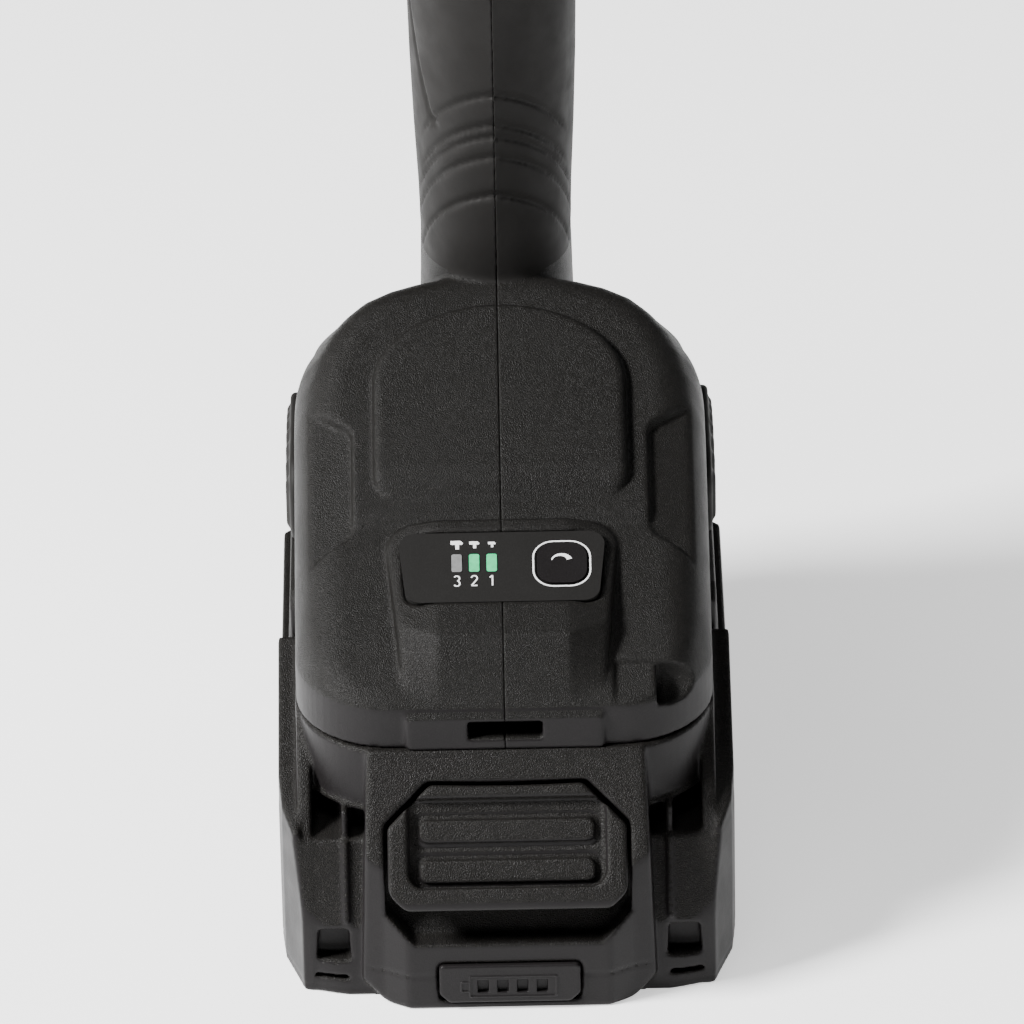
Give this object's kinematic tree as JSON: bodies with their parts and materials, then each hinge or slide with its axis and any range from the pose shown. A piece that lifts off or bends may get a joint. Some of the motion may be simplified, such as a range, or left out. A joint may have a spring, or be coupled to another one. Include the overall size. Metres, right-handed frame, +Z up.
{
  "type": "cordless impact wrench",
  "caption": "Pistol-grip cordless impact wrench with a square drive, an impact-level panel on the foot and a slide-on battery pack with a latch and a charge gauge.",
  "frame": {"origin": "centre of the footprint box, on the surface that the battery pack stands on", "axes": "+Z up, +X to the right of a person who faces the nose, the square drive points along -Y"},
  "size_m": [0.084, 0.182, 0.2785],
  "materials": {
    "shell_plastic": "fine spark texture",
    "button_plastic": "fine spark texture",
    "soft_grip": "matt",
    "panel_gloss": "satin",
    "light_guide": "clear green",
    "clear_lens": "clear",
    "inner_plastic": "matt",
    "cell_wrap": "satin shrink sleeve",
    "nickel": "bright",
    "contact_brass": "satin",
    "circuit_board": "solder mask",
    "tray_aluminium": "as cast",
    "spring_steel": "bright",
    "screw_steel": "zinc, dark",
    "case_alloy": "satin",
    "bright_steel": "ground",
    "machined_steel": "machined",
    "drive_steel": "phosphated",
    "copper_wire": "lacquered",
    "wire_sleeve": "satin"
  },
  "bodies": {
    "tool": {"housing_left": "shell_plastic", "housing_right": "shell_plastic", "housing_screws": "screw_steel", "side_bumper_left": "soft_grip", "side_bumper_right": "soft_grip", "grip_left": "soft_grip", "grip_right": "soft_grip", "control_panel": "panel_gloss", "level_lights": "light_guide", "controller_board": "circuit_board", "controller_tray": "tray_aluminium", "terminal_block": "inner_plastic", "trigger_switch": "inner_plastic", "trigger_spring": "spring_steel", "work_light": "clear_lens", "rear_cap": "shell_plastic", "rear_cap_screws": "screw_steel", "motor_stator": "machined_steel", "motor_windings": "copper_wire", "sensor_board": "circuit_board", "front_bearing": "bright_steel", "rear_bearing": "bright_steel", "gearbox_plate": "tray_aluminium", "ring_gear": "machined_steel", "spindle_bearing": "bright_steel", "anvil_bushing": "contact_brass", "hammer_case": "case_alloy", "case_screws": "screw_steel", "nose_bumper": "soft_grip", "motor_wires": "wire_sleeve"},
    "battery": {"battery_lower_case": "shell_plastic", "battery_upper_case": "shell_plastic", "battery_screws": "screw_steel", "battery_cells": "cell_wrap", "cell_holder_left": "inner_plastic", "cell_holder_right": "inner_plastic", "bus_strips": "nickel", "battery_board": "circuit_board", "battery_terminals": "contact_brass", "latch_springs": "spring_steel"},
    "latch": {"latch_button": "button_plastic"},
    "gauge": {"gauge_button": "button_plastic"},
    "mode": {"mode_button": "button_plastic"},
    "trigger": {"trigger": "button_plastic"},
    "lever": {"direction_lever": "button_plastic"},
    "carrier": {"spindle": "machined_steel", "planet_pins": "bright_steel", "cam_balls": "bright_steel", "hammer_spring": "spring_steel"},
    "planet_1": {"planet_gear_1": "machined_steel"},
    "planet_2": {"planet_gear_2": "machined_steel"},
    "planet_3": {"planet_gear_3": "machined_steel"},
    "hammer": {"hammer": "machined_steel"},
    "anvil": {"anvil": "drive_steel", "anvil_ring": "drive_steel"},
    "rotor": {"motor_shaft": "bright_steel", "rotor_magnets": "machined_steel", "cooling_fan": "inner_plastic"}
  },
  "joints": [
    {"name": "spindle_spin", "type": "hinge", "parent": "tool", "child": "carrier", "pos_m": [0, -0.026, 0.24], "axis": [0, 1, 0], "continuous": true},
    {"name": "motor_spin", "type": "hinge", "parent": "tool", "child": "rotor", "pos_m": [0, 0.039, 0.24], "axis": [0, 1, 0], "continuous": true},
    {"name": "planet_1_spin", "type": "hinge", "parent": "carrier", "child": "planet_1", "pos_m": [0.015, 0.0005, 0.24], "axis": [0, 1, 0], "continuous": true},
    {"name": "planet_2_spin", "type": "hinge", "parent": "carrier", "child": "planet_2", "pos_m": [-0.0075, 0.0005, 0.22701], "axis": [0, 1, 0], "continuous": true},
    {"name": "planet_3_spin", "type": "hinge", "parent": "carrier", "child": "planet_3", "pos_m": [-0.0075, 0.0005, 0.25299], "axis": [0, 1, 0], "continuous": true},
    {"name": "anvil_spin", "type": "hinge", "parent": "tool", "child": "anvil", "pos_m": [0, -0.063, 0.24], "axis": [0, 1, 0], "continuous": true},
    {"name": "hammer_recoil", "type": "slide", "parent": "carrier", "child": "hammer", "axis": [0, 1, 0], "range_m": [0, 0.008], "stiffness_N_per_m": 12000, "springref_m": -0.002, "deforming": ["hammer_spring"]},
    {"name": "trigger_pull", "type": "slide", "parent": "tool", "child": "trigger", "axis": [0, 1, 0], "range_m": [0, 0.006], "stiffness_N_per_m": 1200, "springref_m": -0.001, "deforming": ["trigger_spring"]},
    {"name": "direction_shift", "type": "slide", "parent": "tool", "child": "lever", "axis": [1, 0, 0], "range_m": [-0.0035, 0.0035]},
    {"name": "mode_press", "type": "slide", "parent": "tool", "child": "mode", "axis": [0, 0.342, -0.9397], "range_m": [0, 0.0006], "stiffness_N_per_m": 2500, "springref_m": -0.0002},
    {"name": "battery_slide", "type": "slide", "parent": "tool", "child": "battery", "axis": [0, -1, 0], "range_m": [0, 0.09]},
    {"name": "latch_press", "type": "slide", "parent": "battery", "child": "latch", "axis": [0, -0.5446, -0.8387], "range_m": [0, 0.005], "stiffness_N_per_m": 1500, "springref_m": -0.002, "deforming": ["latch_springs"]},
    {"name": "gauge_press", "type": "slide", "parent": "battery", "child": "gauge", "axis": [0, 1, 0], "range_m": [0, 0.0005], "stiffness_N_per_m": 2500, "springref_m": -0.0002}
  ],
  "couplings": [
    {"joint": "motor_spin", "follows": "spindle_spin", "ratio": 5},
    {"joint": "planet_1_spin", "follows": "spindle_spin", "ratio": -2.6667},
    {"joint": "planet_2_spin", "follows": "spindle_spin", "ratio": -2.6667},
    {"joint": "planet_3_spin", "follows": "spindle_spin", "ratio": -2.6667},
    {"joint": "anvil_spin", "follows": "spindle_spin", "ratio": 1}
  ]
}
